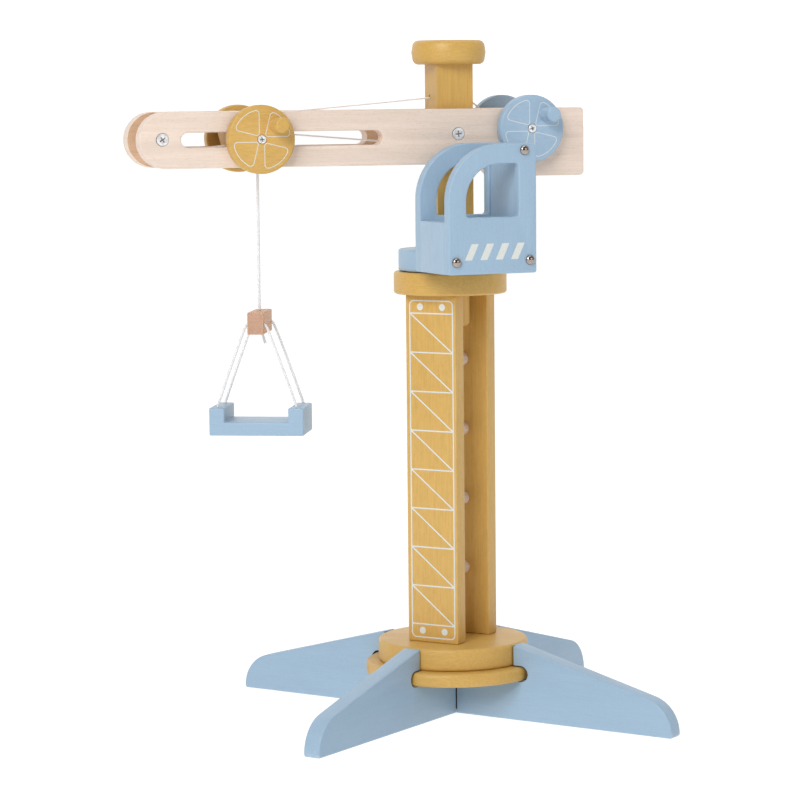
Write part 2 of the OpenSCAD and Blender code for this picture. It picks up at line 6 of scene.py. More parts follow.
import bpy
import bmesh
from mathutils import Matrix, Vector
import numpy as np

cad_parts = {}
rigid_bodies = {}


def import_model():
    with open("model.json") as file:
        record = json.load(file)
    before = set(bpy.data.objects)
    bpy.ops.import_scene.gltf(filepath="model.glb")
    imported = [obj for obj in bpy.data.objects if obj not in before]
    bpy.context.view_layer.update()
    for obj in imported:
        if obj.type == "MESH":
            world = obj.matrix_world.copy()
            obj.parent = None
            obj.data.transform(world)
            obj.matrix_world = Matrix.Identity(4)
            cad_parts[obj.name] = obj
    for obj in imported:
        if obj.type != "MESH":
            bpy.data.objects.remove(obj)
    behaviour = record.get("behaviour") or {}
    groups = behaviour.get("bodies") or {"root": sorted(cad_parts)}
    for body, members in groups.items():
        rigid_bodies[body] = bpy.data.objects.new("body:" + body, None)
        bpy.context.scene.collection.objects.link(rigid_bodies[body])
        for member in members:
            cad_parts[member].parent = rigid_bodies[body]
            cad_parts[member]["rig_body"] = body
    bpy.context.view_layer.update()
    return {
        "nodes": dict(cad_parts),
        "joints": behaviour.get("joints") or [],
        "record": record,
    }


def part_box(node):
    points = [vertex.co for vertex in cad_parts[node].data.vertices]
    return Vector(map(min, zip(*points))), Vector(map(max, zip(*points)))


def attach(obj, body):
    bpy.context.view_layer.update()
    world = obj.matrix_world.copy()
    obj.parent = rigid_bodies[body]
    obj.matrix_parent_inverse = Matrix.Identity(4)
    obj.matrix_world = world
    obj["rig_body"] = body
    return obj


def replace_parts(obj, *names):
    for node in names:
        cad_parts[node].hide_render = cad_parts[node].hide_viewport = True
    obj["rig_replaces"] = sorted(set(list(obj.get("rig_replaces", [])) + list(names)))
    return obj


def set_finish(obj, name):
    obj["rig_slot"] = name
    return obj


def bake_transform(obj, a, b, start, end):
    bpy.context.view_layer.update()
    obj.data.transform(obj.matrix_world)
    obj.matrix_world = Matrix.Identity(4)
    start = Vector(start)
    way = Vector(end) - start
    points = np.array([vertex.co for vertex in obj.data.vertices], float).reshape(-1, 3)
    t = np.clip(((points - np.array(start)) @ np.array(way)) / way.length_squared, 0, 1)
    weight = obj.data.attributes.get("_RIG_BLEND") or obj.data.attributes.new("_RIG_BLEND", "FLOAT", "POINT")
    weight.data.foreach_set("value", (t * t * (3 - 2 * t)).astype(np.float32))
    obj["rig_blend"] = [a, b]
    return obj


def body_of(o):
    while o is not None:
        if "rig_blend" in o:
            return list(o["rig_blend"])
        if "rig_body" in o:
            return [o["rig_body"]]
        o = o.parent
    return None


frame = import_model()
NODES = frame["nodes"]
JOINTS = {j["name"]: j for j in frame["joints"]}
MM = 0.001
FLIP_UP = Matrix.Rotation(math.radians(90), 4, "X")

# -------------------- places

jib_axis = JOINTS["trolley_travel"]["axis"]
ON_JIB = Matrix.Rotation(math.atan2(jib_axis[1], jib_axis[0]), 4, "Z")
CAB_TURN = math.radians(6)
LOAD_TURN = math.radians(-24.8)
LEGS_TURN = math.radians(-2.4)
CAB_START = Vector((-43, -35.4, 0)) * MM
IN_CAB = ON_JIB @ Matrix.Rotation(CAB_TURN, 4, "Z") @ Matrix.Translation(CAB_START)


def in_place(place, point):
    """A point of the row frame, seen from a place."""
    return place.inverted() @ Vector(point)


WINCH_AT = in_place(ON_JIB, JOINTS["trolley_winch_turn"]["pos_m"])
HOIST_AT = in_place(ON_JIB, JOINTS["hoist_winch_turn"]["pos_m"])
LINE_AT = in_place(ON_JIB, JOINTS["load_swing"]["pos_m"])
ON_LOAD = (
    ON_JIB
    @ Matrix.Translation((LINE_AT.x, 0, 0))
    @ Matrix.Rotation(LOAD_TURN, 4, "Z")
)


def box_in(node, place):
    """(lowest corner, highest corner) of a CAD node, seen from a place."""
    back = place.inverted()
    points = [back @ v.co for v in NODES[node].data.vertices]
    low = Vector([min(p[i] for p in points) for i in range(3)])
    high = Vector([max(p[i] for p in points) for i in range(3)])
    return low, high


# -------------------- camera

CAMERA_AT = Vector((1066.2, -1877.4, 450.6)) * MM
CAMERA_HEADING = math.radians(120.57)
CAMERA_PITCH = math.radians(-5.89)
CAMERA_ROLL = math.radians(-0.54)
CAMERA_LENS = 135.5


def make_camera():
    data = bpy.data.cameras.new("camera")
    data.lens = CAMERA_LENS
    data.sensor_width = 36
    camera = bpy.data.objects.new("camera", data)
    bpy.context.scene.collection.objects.link(camera)
    ahead = Vector((
        math.cos(CAMERA_HEADING) * math.cos(CAMERA_PITCH),
        math.sin(CAMERA_HEADING) * math.cos(CAMERA_PITCH),
        math.sin(CAMERA_PITCH),
    ))
    turn = ahead.to_track_quat("-Z", "Y").to_matrix().to_4x4()
    camera.matrix_world = (
        Matrix.Translation(CAMERA_AT) @ turn @ Matrix.Rotation(CAMERA_ROLL, 4, "Z")
    )
    bpy.context.scene.camera = camera


make_camera()

# -------------------- mesh makers


def add(name, mesh):
    piece = bpy.data.objects.new(name, mesh)
    bpy.context.scene.collection.objects.link(piece)
    return piece


def smooth_by_angle(mesh, degrees):
    """Smooth faces, with the edges sharper than this marked sharp."""
    made = bmesh.new()
    made.from_mesh(mesh)
    bmesh.ops.remove_doubles(made, verts=made.verts, dist=1e-6)
    limit = math.radians(degrees)
    for face in made.faces:
        face.smooth = True
    for edge in made.edges:
        edge.smooth = len(edge.link_faces) == 2 and edge.calc_face_angle(0) < limit
    made.to_mesh(mesh)
    made.free()


def finished(name, made, place, degrees=35):
    """A piece with the faces of a bmesh, put in its place and smoothed by angle."""
    made.transform(place)
    mesh = bpy.data.meshes.new(name)
    made.to_mesh(mesh)
    made.free()
    smooth_by_angle(mesh, degrees)
    return add(name, mesh)


def arc(centre, radius, start, end, step=4):
    """Points of an arc about centre from start to end, in degrees."""
    count = max(2, round(abs(end - start) / step) + 1)
    angles = [math.radians(start + (end - start) * i / (count - 1)) for i in range(count)]
    return [(centre[0] + radius * math.cos(a), centre[1] + radius * math.sin(a)) for a in angles]


def rounded(corners):
    """A closed outline from (x, y, radius) corners, each one rounded with an arc."""
    outline = []
    for i, (x, y, radius) in enumerate(corners):
        here = Vector((x, y))
        before = Vector(corners[i - 1][:2]) - here
        after = Vector(corners[(i + 1) % len(corners)][:2]) - here
        half = before.angle(after, math.pi) / 2
        if radius <= 0 or half > math.radians(88):
            outline.append((x, y))
            continue
        reach = radius / math.tan(half)
        centre = here + (before.normalized() + after.normalized()).normalized() * (
            radius / math.sin(half)
        )
        first = here + before.normalized() * reach - centre
        last = here + after.normalized() * reach - centre
        sweep = first.angle_signed(last)
        count = max(3, math.ceil(math.degrees(abs(sweep)) / 7))
        for k in range(count + 1):
            turn = Matrix.Rotation(-sweep * k / count, 2)
            outline.append(tuple(centre + turn @ first))
    return outline


def board(name, outline, thickness, place, edge, holes=(), flat_only=False):
    """A flat board: an outline with holes, square to its place's Z, with rounded edges."""
    data = bpy.data.curves.new(name, "CURVE")
    data.dimensions = "2D"
    data.fill_mode = "BOTH"
    data.extrude = thickness / 2 - edge
    data.bevel_depth = edge
    data.bevel_resolution = 0 if flat_only else 3
    data.offset = -edge
    for points in (outline, *holes):
        spline = data.splines.new("POLY")
        spline.points.add(len(points) - 1)
        for point, (x, y) in zip(spline.points, points):
            point.co = (x, y, 0, 1)
        spline.use_cyclic_u = True
    shape = bpy.data.objects.new(name, data)
    mesh = bpy.data.meshes.new_from_object(shape)
    bpy.data.objects.remove(shape)
    bpy.data.curves.remove(data)
    mesh.transform(place)
    smooth_by_angle(mesh, 35)
    return add(name, mesh)


def block(name, low, high, place, edge):
    """A squared block between two corners, with rounded edges."""
    made = bmesh.new()
    bmesh.ops.create_cube(made, size=1)
    size, middle = high - low, (high + low) / 2
    made.transform(Matrix.Translation(middle) @ Matrix.Diagonal((*size, 1)))
    bmesh.ops.bevel(
        made, geom=made.edges[:], offset=edge, offset_type="OFFSET", segments=4,
        profile=0.5, affect="EDGES",
    )
    return finished(name, made, place)


def turned(name, profile, place, segments=96):
    """A turned piece: a profile of (radius, height) points spun about its place's Z."""
    made = bmesh.new()
    rings = []
    for radius, height in profile:
        if radius < 1e-7:
            rings.append([made.verts.new((0, 0, height))])
        else:
            rings.append([
                made.verts.new((
                    radius * math.cos(math.tau * k / segments),
                    radius * math.sin(math.tau * k / segments),
                    height,
                ))
                for k in range(segments)
            ])
    for lower, upper in zip(rings, rings[1:]):
        for k in range(segments):
            n = (k + 1) % segments
            if len(lower) == 1:
                made.faces.new((lower[0], upper[n], upper[k]))
            elif len(upper) == 1:
                made.faces.new((lower[k], lower[n], upper[0]))
            else:
                made.faces.new((lower[k], lower[n], upper[n], upper[k]))
    bmesh.ops.recalc_face_normals(made, faces=made.faces)
    return finished(name, made, place)


def disc_profile(radius, low, high, edge, bore=0.0):
    """The profile of a disc with rounded edges, solid or with a bore."""
    lower = arc((radius - edge, low + edge), edge, -90, 0, 15)
    upper = arc((radius - edge, high - edge), edge, 0, 90, 15)
    return [(bore, low), *lower, *upper, (bore, high)] + ([(bore, low)] if bore else [])


def smoothed(points, step):
    """A smooth line through given points, with points about step apart."""
    p = [Vector(q) for q in points]
    p = [2 * p[0] - p[1], *p, 2 * p[-1] - p[-2]]
    line = []
    for i in range(1, len(p) - 2):
        count = max(1, math.ceil((p[i + 1] - p[i]).length / step))
        knots = [0.0]
        for a, b in zip(p[i - 1:i + 2], p[i:i + 3]):
            knots.append(knots[-1] + max(1e-9, (b - a).length) ** 0.5)
        for k in range(count):
            t = knots[1] + (knots[2] - knots[1]) * k / count
            a = [
                p[i - 1 + n] * ((knots[n + 1] - t) / (knots[n + 1] - knots[n]))
                + p[i + n] * ((t - knots[n]) / (knots[n + 1] - knots[n]))
                for n in range(3)
            ]
            b = [
                a[n] * ((knots[n + 2] - t) / (knots[n + 2] - knots[n]))
                + a[n + 1] * ((t - knots[n]) / (knots[n + 2] - knots[n]))
                for n in range(2)
            ]
            line.append(
                b[0] * ((knots[2] - t) / (knots[2] - knots[1]))
                + b[1] * ((t - knots[1]) / (knots[2] - knots[1]))
            )
    line.append(p[-2])
    return line


def braid(name, line, diameter, place, sides=16):
    """A braided cord swept along a line, closed at both ends. Thin cords are nearly smooth."""
    relief = 0.05 if diameter > 1.9 * MM else 0.02
    made = bmesh.new()
    rings, along, turn = [], 0.0, None
    for i, point in enumerate(line):
        ahead = (line[min(i + 1, len(line) - 1)] - line[max(i - 1, 0)]).normalized()
        if turn is None:
            turn = ahead.orthogonal().normalized()
        else:
            turn = (turn - ahead * turn.dot(ahead)).normalized()
            along += (point - line[i - 1]).length
        across = ahead.cross(turn)
        phase = along / diameter * 2.6
        ring = []
        for k in range(sides):
            a = math.tau * k / sides
            weave = math.sin(2 * a + phase) * math.sin(2 * a - phase)
            r = diameter / 2 * (1 - relief + relief * weave)
            ring.append(made.verts.new(point + r * (math.cos(a) * turn + math.sin(a) * across)))
        rings.append(ring)
    for lower, upper in zip(rings, rings[1:]):
        for k in range(sides):
            n = (k + 1) % sides
            made.faces.new((lower[k], lower[n], upper[n], upper[k]))
    made.faces.new(rings[0][::-1])
    made.faces.new(rings[-1])
    bmesh.ops.recalc_face_normals(made, faces=made.faces)
    return finished(name, made, place, 60)


# -------------------- cords

HOIST_CORD = 2.0 * MM
SLING = 1.8 * MM
PULL_CORD = 1.2 * MM
# Distance between the points of a cord's line, in diameters
STEP = 0.3
# Height where the hoist cord ends and its knot's piece starts, in millimetres
KNOT_TOP = 297


def cord_piece(name, points, diameter, place, node, step=STEP):
    """A cord along given points in millimetres, standing for its CAD node."""
    line = smoothed([Vector(p) * MM for p in points], diameter * step)
    piece = braid(name, line, diameter, place)
    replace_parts(piece, node)
    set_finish(piece, "cord")
    path = [place @ p for p in line]
    length = sum((b - a).length for a, b in zip(path, path[1:]))
    return piece, path, length


def make_hoist_cord():
    points = [(0, 0, z) for z in (LINE_AT.z / MM, 380, 340, KNOT_TOP)]
    piece, path, length = cord_piece(
        "hoist_cord_braid", points, HOIST_CORD, ON_LOAD, "hoist_cord")
    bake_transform(piece, "hoist_line", "hook", start=path[0], end=path[-1])
    make_knot()


def make_knot():
    """The hoist cord's end: through the spreader bar, a knot in its seat and a short tail."""
    under = box_in("spreader_bar", ON_LOAD)[0].z / MM
    points = [(0, 0, z) for z in (KNOT_TOP, 290, under + 5)]
    for k in range(1, 12):
        a = math.tau * k / 12
        points.append((1.25 * math.sin(2 * a), 1.25 * math.cos(a), under + 3 + 1.1 * math.sin(a)))
    points += [(1, 0, under + 0.6), (2, 0.2, under - 1.4), (3.8, 0.4, under - 7.6)]
    line = smoothed([Vector(p) * MM for p in points], HOIST_CORD * STEP)
    piece = braid("hoist_cord_knot", line, HOIST_CORD, ON_LOAD)
    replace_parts(piece, "hoist_knot")
    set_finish(piece, "cord")
    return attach(piece, "hook")


def make_slings():
    bar_high = box_in("spreader_bar", ON_LOAD)[1]
    tray_high = box_in("tray", ON_LOAD)[1]
    hole_depth, hole_y, wall_half = 8.5, 15, 5.4
    bar_x, hole_z, top = bar_high.x / MM, bar_high.z / MM - hole_depth, tray_high.z / MM
    reach = tray_high.x / MM - wall_half
    half = [
        (bar_x + 0.9, hole_z - 0.5), (bar_x + 2.2, hole_z - 2.6), (reach - 0.5, top + 2),
        (reach - 0.1, top + 0.6), (reach, top - 0.8), (reach, top - 6.5),
    ]
    for name, y in (("sling_near", -hole_y), ("sling_far", hole_y)):
        points = [(-x, y, z) for x, z in half[::-1]]
        points += [(0.6 - bar_x, y, hole_z), (bar_x - 0.6, y, hole_z)]
        points += [(x, y, z) for x, z in half]
        piece, path, length = cord_piece(name + "_braid", points, SLING, ON_LOAD, name)
        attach(piece, "load")


TIP_AT = (box_in("tip_spacer", ON_JIB)[0] + box_in("tip_spacer", ON_JIB)[1]) / 2
# Radius of the cord's middle round the tip spacer and round each axle, in millimetres
TIP_WRAP_R, PULL_DRUM_R, HOIST_DRUM_R = 11.25, 5.45, 5.85
# Half the post's side, the strands' place across the jib and the guide holes' heights
POST_FACE, STRAND, GUIDE_TOP, GUIDE_LOW = 13.5, 3, 445.3, 411.2


def pull_cord(node, points):
    return cord_piece(node + "_braid", points, PULL_CORD, ON_JIB, node, 0.5)[:2]


def make_pull_cords():
    tip_x, tip_z = TIP_AT.x / MM, TIP_AT.z / MM
    winch_x, winch_z = WINCH_AT.x / MM, WINCH_AT.z / MM
    front_end = box_in("pull_cord_front", ON_JIB)[1].x / MM
    back_start = box_in("pull_cord_back", ON_JIB)[0].x / MM
    hoist_z = HOIST_AT.z / MM
    block_half, block_tilt = 17.5, math.radians(14.5)
    lift = block_half * math.sin(block_tilt) - 0.4

    turns = [math.radians(a) for a in range(270, 89, -12)]
    wrap = [
        (tip_x + TIP_WRAP_R * math.cos(a), 0, tip_z + TIP_WRAP_R * math.sin(a)) for a in turns
    ]
    round_tip = wrap + [
        (tip_x + 8, 0.2, tip_z + TIP_WRAP_R + 0.6), (-100, 1.6, 437.3),
        (-POST_FACE - 2, STRAND, GUIDE_TOP - 1.1), (-POST_FACE + 1, STRAND, GUIDE_TOP - 0.9),
        (POST_FACE - 1, STRAND, GUIDE_TOP - 0.9), (POST_FACE + 1.5, STRAND, GUIDE_TOP - 1.7),
        (winch_x - 3.8, STRAND, winch_z - 4.4), (winch_x - 1.6, STRAND, winch_z - 5.5),
        (winch_x, STRAND, winch_z - 5.6),
    ]
    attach(pull_cord("pull_cord_round_tip", round_tip)[0], "jib")

    front = [(tip_x, 0, tip_z - TIP_WRAP_R), (front_end, 0, hoist_z - lift)]
    front.insert(1, tuple((Vector(front[0]) + Vector(front[1])) / 2))
    piece, path = pull_cord("pull_cord_front", front)
    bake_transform(piece, "jib", "trolley", start=path[0], end=path[-1])

    back = [(back_start, 0, hoist_z + lift), (-POST_FACE - 3, -STRAND, GUIDE_LOW)]
    back.insert(1, tuple((Vector(back[0]) + Vector(back[1])) / 2))
    piece, path = pull_cord("pull_cord_back", back)
    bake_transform(piece, "trolley", "jib", start=path[0], end=path[-1])

    to_winch = [
        (-POST_FACE - 3, -STRAND, GUIDE_LOW), (POST_FACE + 2, -STRAND, GUIDE_LOW),
        (winch_x - 2, -STRAND, winch_z + PULL_DRUM_R - 0.1),
        (winch_x, -STRAND, winch_z + PULL_DRUM_R + 0.02),
    ]
    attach(pull_cord("pull_cord_to_winch", to_winch)[0], "jib")


def helix(at, radius, start, end, diameter):
    """Points of a helix on an axle, from one place across the jib to another."""
    per_turn, pitch = 20, diameter * 1.04
    total = round(per_turn * abs(end - start) / pitch)
    return [
        Vector((
            at.x + radius * math.cos(math.tau * k / per_turn),
            start + (end - start) * k / total,
            at.z + radius * math.sin(math.tau * k / per_turn),
        ))
        for k in range(total + 1)
    ]


def make_turns(node, at, radius, diameter, runs, body):
    """Cord wound on an axle, side by side, in one or more runs of turns."""
    for i, (start, end) in enumerate(runs):
        line = smoothed(helix(at, radius, start * MM, end * MM, diameter), diameter * STEP)
        piece = braid(f"{node}_helix_{i + 1}", line, diameter, ON_JIB, 12)
        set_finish(piece, "cord")
        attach(piece, body)
        if i == 0:
            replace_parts(piece, node)


make_hoist_cord()
make_slings()
make_pull_cords()
make_turns("hoist_cord_turns", HOIST_AT, HOIST_DRUM_R * MM, HOIST_CORD,
           ((-4.75, -2.3), (2.3, 4.75)), "hoist_winch")
make_turns("winch_cord_turns", WINCH_AT, PULL_DRUM_R * MM, PULL_CORD,
           ((-1.8, 1.8),), "trolley_winch")

# -------------------- wooden pieces


def flat_place(place, y):
    """The place of a board that stands in its place's XZ plane, with its middle at y."""
    return place @ Matrix.Translation((0, y, 0)) @ FLIP_UP


def mm_outline(points):
    return [(x * MM, y * MM) for x, y in points]


def stand_for(piece, node, body, slot):
    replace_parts(piece, node)
    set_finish(piece, slot)
    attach(piece, body)


# A leg in millimetres: its slot's lowest height, half its slot's width, the distance to the
# slot's end, and its inner end, placed so that two legs meet in a narrow groove whose charred faces are made
# near-black, partly as painted shade
SLOT_LOW, SLOT_R, SLOT_END, MITRE = 29, 5.15, 66, 6.12
LEG_NODES = ("leg_right", "leg_back", "leg_left", "leg_front")


def leg_turn(node):
    """The place of a leg, which has X along the leg."""
    return Matrix.Rotation(LEGS_TURN + math.radians(90 * LEG_NODES.index(node)), 4, "Z")


def leg_outline():
    """A leg seen from its side: (distance from the mast's axis, height)."""
    reach, round_r, sole, slope = 182.3, 25.4, 2, 0.262
    inner, shoulder = 54.3, 1.5
    lean = math.atan(slope)
    touch = Vector((reach - round_r, sole)) + Vector((math.sin(lean), math.cos(lean))) * round_r
    turn_x = inner + shoulder
    turn_z = touch.y + slope * (touch.x - turn_x) - shoulder / math.cos(lean)
    top = 90 - math.degrees(lean)
    points = [(MITRE, 0.2), (reach - 1.2, 0.2), (reach - 0.2, 1.2)]
    points += arc((reach - round_r, sole), round_r, 2, top, 5)
    points += arc((turn_x, turn_z), shoulder, top, 180, 12)
    points += [(inner, SLOT_LOW + 2 * SLOT_R)]
    points += arc((SLOT_END - SLOT_R, SLOT_LOW + SLOT_R), SLOT_R, 90, -90, 12)
    points += [(MITRE, SLOT_LOW)]
    return mm_outline(points)


def make_legs():
    outline = leg_outline()
    for node in LEG_NODES:
        turn = leg_turn(node)
        piece = board(node + "_board", outline, 13 * MM, flat_place(turn, 0), 1.0 * MM)
        stand_for(piece, node, "base", "blue_paint")
        mark_second_faces(piece, turn, leg_cut)


def mark_second_faces(piece, place, chosen):
    """Gives some of a board's faces a second material: chosen(middle, normal), seen from a place. These are
    sawn faces, or faces darkened as painted shade.
    """
    back = place.inverted()
    turn = back.to_3x3()
    for face in piece.data.polygons:
        if chosen((back @ face.center) / MM, turn @ face.normal):
            face.material_index = 1


def leg_cut(middle, normal):
    """A leg's slot and its inner end: faces charred by the saw, made near-black as painted shade in the slot
    and in the groove between two legs.
    """
    in_slot = middle.x < SLOT_END + 1 and middle.z > SLOT_LOW - 0.8 and normal.z < 0.7
    in_slot = in_slot and abs(normal.y) < 0.95
    at_mitre = middle.x < MITRE + 1.0 and abs(normal.y) < 0.99
    return in_slot or at_mitre


def make_discs():
    for node, edge, bore in (
        ("base_disc_lower", 3.0, 0), ("base_disc_upper", 2.4, 0), ("head_disc", 2.0, 13.87),
    ):
        low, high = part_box(node)
        profile = disc_profile((high.x - low.x) / 2, low.z, high.z, edge * MM, bore * MM)
        piece = turned(node + "_turned", profile, Matrix.Identity(4), 144)
        stand_for(piece, node, "base", "mustard_paint")


def make_turntable():
    """The turntable disc, with a flat on the cab's side."""
    low, high = box_in("turntable", ON_JIB)
    radius = high.x
    side = 35.4 * MM
    half = math.degrees(math.acos(side / radius))
    outline = arc((0, 0), radius, -90 + half, 270 - half, 2.5)
    place = ON_JIB @ Matrix.Rotation(CAB_TURN, 4, "Z")
    place = place @ Matrix.Translation((0, 0, (low.z + high.z) / 2))
    piece = board("turntable_board", outline, high.z - low.z, place, 1.5 * MM)
    stand_for(piece, "turntable", "jib", "blue_paint")


def make_panels():
    for node in ("mast_panel_front", "mast_panel_back"):
        low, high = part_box(node)
        piece = block(node + "_board", low, high, Matrix.Identity(4), 1.1 * MM)
        stand_for(piece, node, "base", "mustard_paint")


def make_knob():
    low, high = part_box("knob")
    radius = (high.x - low.x) / 2
    edge = 4.2 * MM
    swell = 0.7 * MM
    lower = arc((radius - swell - edge, low.z + edge), edge, -90, -15, 8)
    upper = arc((radius - swell - edge, high.z - edge), edge, 15, 90, 8)
    middle = [(radius, (low.z + high.z) / 2)]
    profile = [(0, low.z), *lower, *middle, *upper, (0, high.z)]
    piece = turned("knob_turned", profile, Matrix.Identity(4), 128)
    stand_for(piece, "knob", "jib", "mustard_paint")


def rail_outline():
    """A rail seen from its side: (place along the jib, height)."""
    low, high = box_in("rail_near", ON_JIB)
    x0, x1, z1 = low.x / MM, high.x / MM, high.z / MM
    height, step_from, step_to = 39, 25.8, 35
    half, z0, deep = height / 2, z1 - height, low.z / MM
    tip = arc((x0 + half, z1 - half), half, 90, 270, 5)
    tail = rounded([
        (step_from, z0, 0), (step_to, deep, 3), (x1, deep, 3.2), (x1, z1, 2.6),
        (x0 + half, z1, 0),
    ])
    return mm_outline(tip + tail)


def slot_outline():
    mid, half, tip_end, mast_end = HOIST_AT.z / MM, 5.1, -202.5, -57.5
    first, last = tip_end + half, mast_end - half
    return mm_outline(
        arc((last, mid), half, 90, -90, 12) + arc((first, mid), half, 270, 90, 12)
    )


TIP_SCREW = Vector((TIP_AT.x, 0, TIP_AT.z))
POST_SCREW = Vector((-1.4, 0, 419)) * MM
RAIL_HEAD_R, WHEEL_HEAD_R = 4.2 * MM, 2.9 * MM


def ring_outline(centre, radius):
    return arc((centre.x, centre.z), radius, 0, 355, 5)


def rail_shaded_face(middle, normal):
    """A rail's inner face, the one towards the other rail, which gets a darker wood as painted shade."""
    return abs(normal.y) > 0.9 and normal.y * middle.y < 0


def make_rails():
    holes = [slot_outline()]
    holes += [ring_outline(at, RAIL_HEAD_R + 0.15 * MM) for at in (TIP_SCREW, POST_SCREW)]
    for node in ("rail_near", "rail_far"):
        low, high = box_in(node, ON_JIB)
        place = flat_place(ON_JIB, (low.y + high.y) / 2)
        piece = board(node + "_board", rail_outline(), high.y - low.y, place, 0.9 * MM, holes)
        stand_for(piece, node, "jib", "natural_wood")
        mark_second_faces(piece, ON_JIB, rail_shaded_face)


def plus_outline(length, width, turn):
    """The outline of a cross recess."""
    a, b = length / 2, width / 2
    points = [(a, -b), (a, b), (b, b), (b, a), (-b, a), (-b, b),
              (-a, b), (-a, -b), (-b, -b), (-b, -a), (b, -a), (b, -b)]
    c, s = math.cos(turn), math.sin(turn)
    return [(x * c - y * s, x * s + y * c) for x, y in points]


def make_screw(name, place, radius, height, cross, body, edge):
    """A screw head, a cap with a cross cut in it, over a floor of the darker nail metal, painted shade in
    the cross and in the ring round the head. Z points out of the face.
    """
    cap = board(name + "_cap", arc((0, 0), radius, 0, 354, 6), height,
                place @ Matrix.Translation((0, 0, height / 2)), edge, [cross])
    wide, deep, shallow = radius + 0.3 * MM, -1.5 * MM, -0.25 * MM
    floor = turned(name + "_floor", [(0, deep), (wide, deep), (wide, shallow), (0, shallow)],
                   place, 32)
    # The floor gets the darker nail metal: painted shade in the cross and in the ring round the head
    for piece, slot in ((cap, "zinc_screw"), (floor, "dark_nail")):
        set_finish(piece, slot)
        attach(piece, body)
    return cap


def outward(place, at, y):
    """A place on a face across the jib, with Z pointing out of it."""
    return place @ Matrix.Translation((at.x, y, at.z)) @ Matrix.Rotation(
        math.radians(90 if y < 0 else -90), 4, "X")


# A screw head in millimetres: its depth in its face, its height, its edge and its cross
RAIL_SCREW = (0.65, 0.8, 0.2, 4.6, 0.95)
WHEEL_SCREW = (0.4, 1.3, 0.45, 3.2, 0.75)


def make_screws():
    """The screws in both sides, each with its cross turned its own way."""
    rail_face = box_in("rail_far", ON_JIB)[1].y
    wheel_face = box_in("winch_wheel_far", ON_JIB)[1].y
    rail, wheel = (RAIL_HEAD_R, rail_face, RAIL_SCREW), (WHEEL_HEAD_R, wheel_face, WHEEL_SCREW)
    jobs = [
        ("rail_screws", "jib", POST_SCREW, 0.09, rail),
        ("rail_screws", "jib", TIP_SCREW, 0.59, rail),
        ("winch_screws", "trolley_winch", WINCH_AT, 0.3, wheel),
        ("hoist_screws", "hoist_winch", HOIST_AT, 0.12, wheel),
    ]
    shown = set()
    for i, (node, body, at, turn, (radius, face, head)) in enumerate(jobs):
        depth, height, edge, length, width = (size * MM for size in head)
        cross = plus_outline(length, width, turn)
        for side, across in (("near", -1), ("far", 1)):
            place = outward(ON_JIB, at, across * (face - depth))
            name = f"{node}_{side}_{i + 1}"
            cap = make_screw(name, place, radius, height, cross, body, edge)
            if node not in shown:
                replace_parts(cap, node)
                shown.add(node)


CAB_R = 39
WINDOW_R = 25.5


def cab_outline(node):
    low, high = box_in(node, IN_CAB)
    length, z0, z1 = high.x / MM, low.z / MM, high.z / MM
    front = arc((CAB_R, z1 - CAB_R), CAB_R, 90, 180, 3)
    rest = rounded([
        (0, z1 - CAB_R - 5, 0), (0, z0, 1.6), (length, z0, 1.6), (length, z1, 3), (CAB_R, z1, 0),
    ])
    return mm_outline(front[:-1] + rest[:-1])


def window_outline(node):
    middle = box_in(node, IN_CAB)[1].z / MM - CAB_R
    sill, left, right = 362.7, CAB_R - WINDOW_R, 53.3
    top = middle + WINDOW_R
    curve = arc((CAB_R, middle), WINDOW_R, 92, 178, 3)
    rest = rounded([
        (left, sill + 4, 0), (left, sill, 2.2), (right, sill, 2.4), (right, top, 3),
        (CAB_R, top, 0),
    ])
    return mm_outline(curve + rest)


def make_cab():
    for node in ("cab_panel_near", "cab_panel_far"):
        low, high = box_in(node, IN_CAB)
        place = flat_place(IN_CAB, (low.y + high.y) / 2)
        piece = board(
            node + "_board", cab_outline(node), high.y - low.y, place, 1.0 * MM,
            [window_outline(node)],
        )
        stand_for(piece, node, "jib", "blue_paint")
    for node in ("cab_front_board", "cab_back_board"):
        low, high = box_in(node, IN_CAB)
        piece = block(node + "_block", low, high, IN_CAB, 0.9 * MM)
        stand_for(piece, node, "jib", "blue_paint")


# Where the nails are in each cab panel: (distance from its front, height) in millimetres
NAILS_AT = ((5.6, 332.1), (61.6, 332.5), (57.6, 408.2))
NAIL_R = 3.5


def make_nails():
    """Domed nail heads, with a rolled rim."""
    foot, rim, rise = 3.3, 0.25, 2.3
    turns = [math.radians(d) for d in range(0, 90, 6)]
    dome = [(NAIL_R * math.cos(a), rim + rise * math.sin(a)) for a in turns]
    profile = mm_outline([(0, 0), (foot, 0), *dome, (0, rim + rise)])
    for i, (x, z) in enumerate(NAILS_AT):
        for side, y, tilt in (("near", -57, 90), ("far", 0, -90)):
            turn = Matrix.Rotation(math.radians(tilt), 4, "X")
            place = IN_CAB @ Matrix.Translation(Vector((x, y, z)) * MM) @ turn
            piece = turned(f"cab_nail_{side}_{i + 1}", profile, place, 40)
            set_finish(piece, "dark_nail")
            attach(piece, "jib")
            if i == 0 and side == "near":
                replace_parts(piece, "cab_nails")


def make_wheel(node, at, body, slot):
    """A handwheel with rounded edges and a counterbore for its screw."""
    low, high = box_in(node, ON_JIB)
    radius = (high.x - low.x) / 2
    near = (low.y + high.y) / 2 < 0
    thickness = high.y - low.y
    edge = 1.2 * MM
    bore, depth = WHEEL_HEAD_R + 0.3 * MM, 1.6 * MM
    profile = disc_profile(radius, 0, thickness, edge)[:-1]
    profile += [(bore, thickness), (bore, thickness - depth), (0, thickness - depth)]
    face = high.y if near else low.y
    turn = Matrix.Rotation(math.radians(90 if near else -90), 4, "X")
    place = ON_JIB @ Matrix.Translation((at.x, face, at.z)) @ turn
    piece = turned(node + "_turned", profile, place, 128)
    stand_for(piece, node, body, slot)


